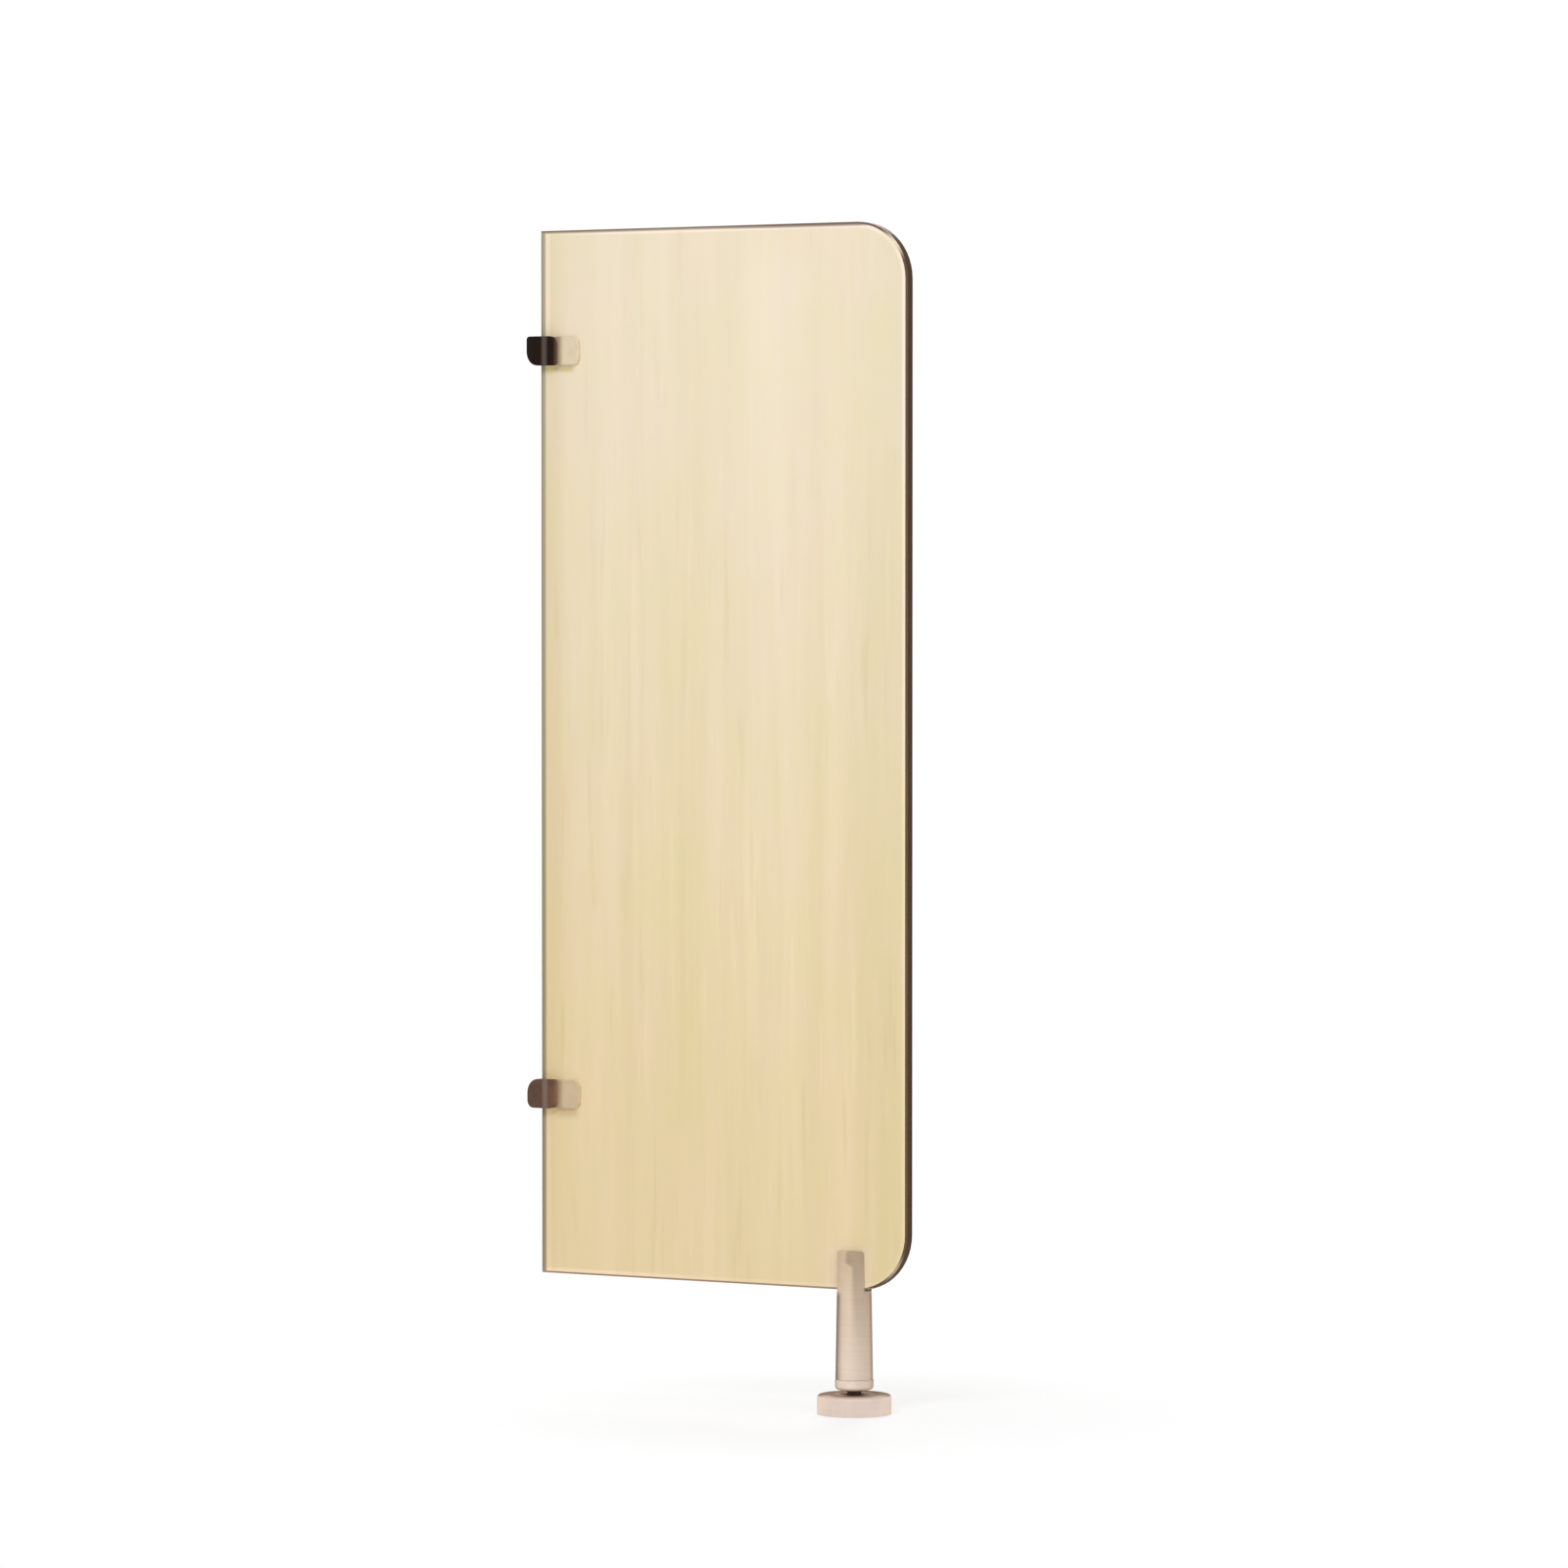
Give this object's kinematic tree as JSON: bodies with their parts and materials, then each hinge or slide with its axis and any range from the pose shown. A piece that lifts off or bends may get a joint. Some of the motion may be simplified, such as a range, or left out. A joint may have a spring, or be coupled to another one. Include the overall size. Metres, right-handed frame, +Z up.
{
  "type": "urinal privacy screen",
  "caption": "Tall narrow wood-grain laminate panel with rounded free corners, clamped to a wall and propped by a height-adjustable round foot.",
  "frame": {"origin": "half-way between the two wall screws, on the plane of the wall and in the middle of the panel's thickness", "axes": "+X runs out from the wall along the panel, +Z is up, -Y is the panel's front face and +Y its rear face, where the screws are"},
  "size_m": [0.4115, 0.07, 1.117],
  "materials": {
    "laminate_core": "satin",
    "wood_decor": "satin wood grain",
    "dark_bronze": "gloss",
    "jaw_beige": "satin",
    "rubber_clear": "matt",
    "rubber_black": "matt",
    "column_satin": "satin",
    "cover_satin": "satin",
    "steel_bright": "satin",
    "steel_black": "satin black",
    "brass": "machined",
    "flange_zinc": "cast, satin"
  },
  "bodies": {
    "screen": {"panel_core": "laminate_core", "front_decor": "wood_decor", "rear_decor": "wood_decor", "upper_clamp_body": "dark_bronze", "upper_edge_buffer": "rubber_black", "upper_front_jaw_plate": "jaw_beige", "upper_front_jaw_pad": "rubber_clear", "lower_clamp_body": "dark_bronze", "lower_edge_buffer": "rubber_black", "lower_front_jaw_plate": "jaw_beige", "lower_front_jaw_pad": "rubber_clear", "foot_column": "column_satin", "slot_liner": "rubber_clear", "foot_fixing_screws": "steel_bright", "column_collar": "column_satin", "threaded_insert": "brass"},
    "upper_rear_jaw": {"upper_rear_jaw_plate": "jaw_beige", "upper_rear_jaw_pad": "rubber_clear"},
    "upper_grub_low": {"upper_grub_screw_low": "steel_black"},
    "upper_grub_high": {"upper_grub_screw_high": "steel_black"},
    "lower_rear_jaw": {"lower_rear_jaw_plate": "jaw_beige", "lower_rear_jaw_pad": "rubber_clear"},
    "lower_grub_low": {"lower_grub_screw_low": "steel_black"},
    "lower_grub_high": {"lower_grub_screw_high": "steel_black"},
    "floor_foot": {"floor_flange": "flange_zinc", "stud_keeper": "steel_black", "cover_ring": "rubber_black", "floor_pad": "rubber_black"},
    "stud": {"levelling_stud": "steel_bright"},
    "cover": {"flange_cover": "cover_satin"},
    "washer": {"lock_washer": "steel_black"},
    "nut": {"lock_nut": "steel_black"}
  },
  "joints": [
    {"name": "upper_jaw_release", "type": "slide", "parent": "screen", "child": "upper_rear_jaw", "axis": [0, 1, 0], "range_m": [0, 0.0015]},
    {"name": "upper_grub_low_turn", "type": "hinge", "parent": "upper_rear_jaw", "child": "upper_grub_low", "pos_m": [0.0215, 0.012, 0.3495], "axis": [0, 1, 0], "range_deg": [0, 541]},
    {"name": "upper_grub_high_turn", "type": "hinge", "parent": "upper_rear_jaw", "child": "upper_grub_high", "pos_m": [0.0215, 0.012, 0.3625], "axis": [0, 1, 0], "range_deg": [0, 541]},
    {"name": "lower_jaw_release", "type": "slide", "parent": "screen", "child": "lower_rear_jaw", "axis": [0, 1, 0], "range_m": [0, 0.0015]},
    {"name": "lower_grub_low_turn", "type": "hinge", "parent": "lower_rear_jaw", "child": "lower_grub_low", "pos_m": [0.0215, 0.012, -0.3625], "axis": [0, 1, 0], "range_deg": [0, 541]},
    {"name": "lower_grub_high_turn", "type": "hinge", "parent": "lower_rear_jaw", "child": "lower_grub_high", "pos_m": [0.0215, 0.012, -0.3495], "axis": [0, 1, 0], "range_deg": [0, 541]},
    {"name": "foot_height", "type": "slide", "parent": "screen", "child": "floor_foot", "axis": [0, 0, -1], "range_m": [0, 0.02]},
    {"name": "stud_turn", "type": "hinge", "parent": "floor_foot", "child": "stud", "pos_m": [0.3521, 0, -0.6], "axis": [0, 0, -1], "range_deg": [0, 5761]},
    {"name": "cover_lift", "type": "slide", "parent": "floor_foot", "child": "cover", "axis": [0, 0, 1], "range_m": [0, 0.0043]},
    {"name": "lock_nut_travel", "type": "slide", "parent": "screen", "child": "washer", "axis": [0, 0, -1], "range_m": [0, 0.0038]},
    {"name": "lock_nut_turn", "type": "hinge", "parent": "washer", "child": "nut", "pos_m": [0.3521, 0, -0.627], "axis": [0, 0, -1], "range_deg": [0, 1095]}
  ],
  "couplings": [
    {"joint": "upper_grub_low_turn", "follows": "upper_jaw_release", "rad_per_m": 6283.2},
    {"joint": "upper_grub_high_turn", "follows": "upper_jaw_release", "rad_per_m": 6283.2},
    {"joint": "lower_grub_low_turn", "follows": "lower_jaw_release", "rad_per_m": 6283.2},
    {"joint": "lower_grub_high_turn", "follows": "lower_jaw_release", "rad_per_m": 6283.2},
    {"joint": "stud_turn", "follows": "foot_height", "rad_per_m": 5026.5},
    {"joint": "lock_nut_turn", "follows": "lock_nut_travel", "rad_per_m": 5026.5}
  ]
}
